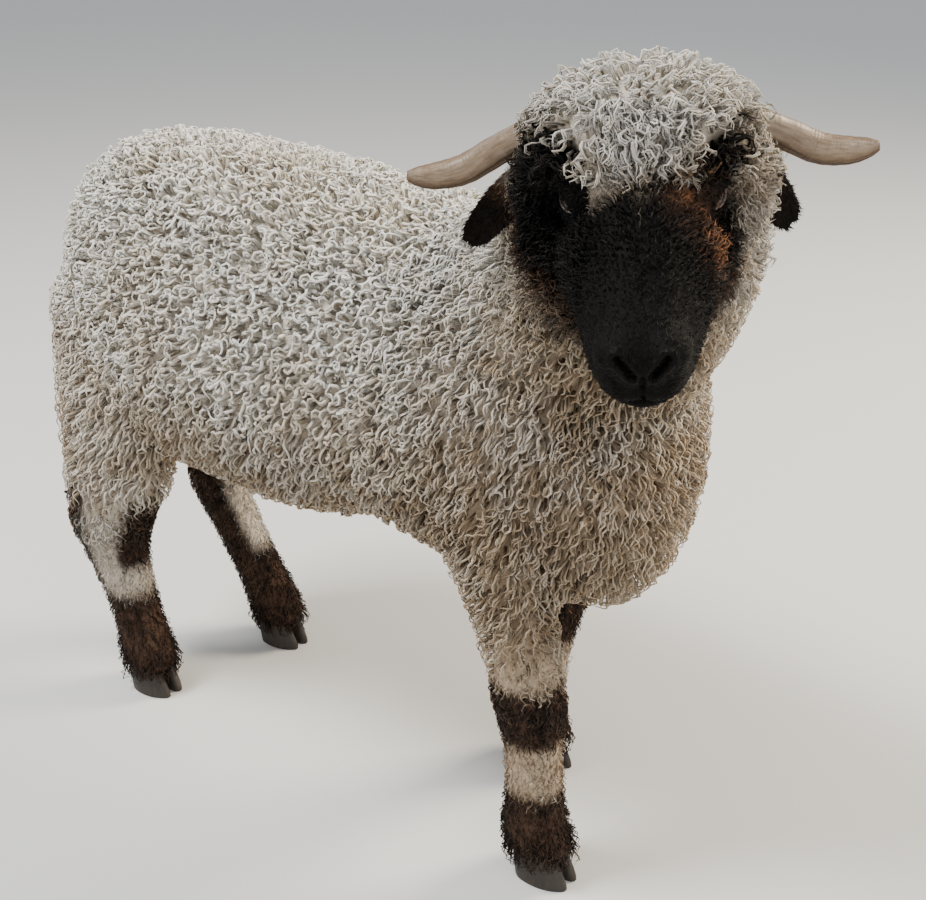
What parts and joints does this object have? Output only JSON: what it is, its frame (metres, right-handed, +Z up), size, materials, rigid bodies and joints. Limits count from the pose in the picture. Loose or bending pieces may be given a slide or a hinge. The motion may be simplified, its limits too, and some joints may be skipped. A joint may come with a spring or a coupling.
{
  "type": "valais blacknose sheep",
  "caption": "Young horned blacknose sheep standing with its head turned right, life size, with curly white fleece and black face, ears, knees, hocks and feet.",
  "frame": {"origin": "on the floor, under the middle of the whole box", "axes": "+X forwards along the body towards the chest, +Y to the animal's left, +Z up"},
  "size_m": [0.9752, 0.436, 0.8294],
  "materials": {
    "fleece": "matte curly wool",
    "dark_coat": "short matte black hair",
    "horn": "satin ochre horn",
    "claw": "dull dark horn",
    "eye": "wet gloss"
  },
  "bodies": {
    "root": {"torso": "fleece", "hindquarters": "fleece", "neck": "fleece", "head": "fleece", "tail": "fleece", "foreleg_right": "fleece", "foreleg_left": "fleece", "hindleg_right": "fleece", "hindleg_left": "fleece", "ear_left": "dark_coat", "ear_right": "dark_coat", "horn_left": "horn", "horn_right": "horn", "eye_left": "eye", "eye_right": "eye", "claw_foreleg_right_inner": "claw", "claw_foreleg_right_outer": "claw", "claw_foreleg_left_inner": "claw", "claw_foreleg_left_outer": "claw", "claw_hindleg_right_inner": "claw", "claw_hindleg_right_outer": "claw", "claw_hindleg_left_inner": "claw", "claw_hindleg_left_outer": "claw"}
  },
  "joints": []
}
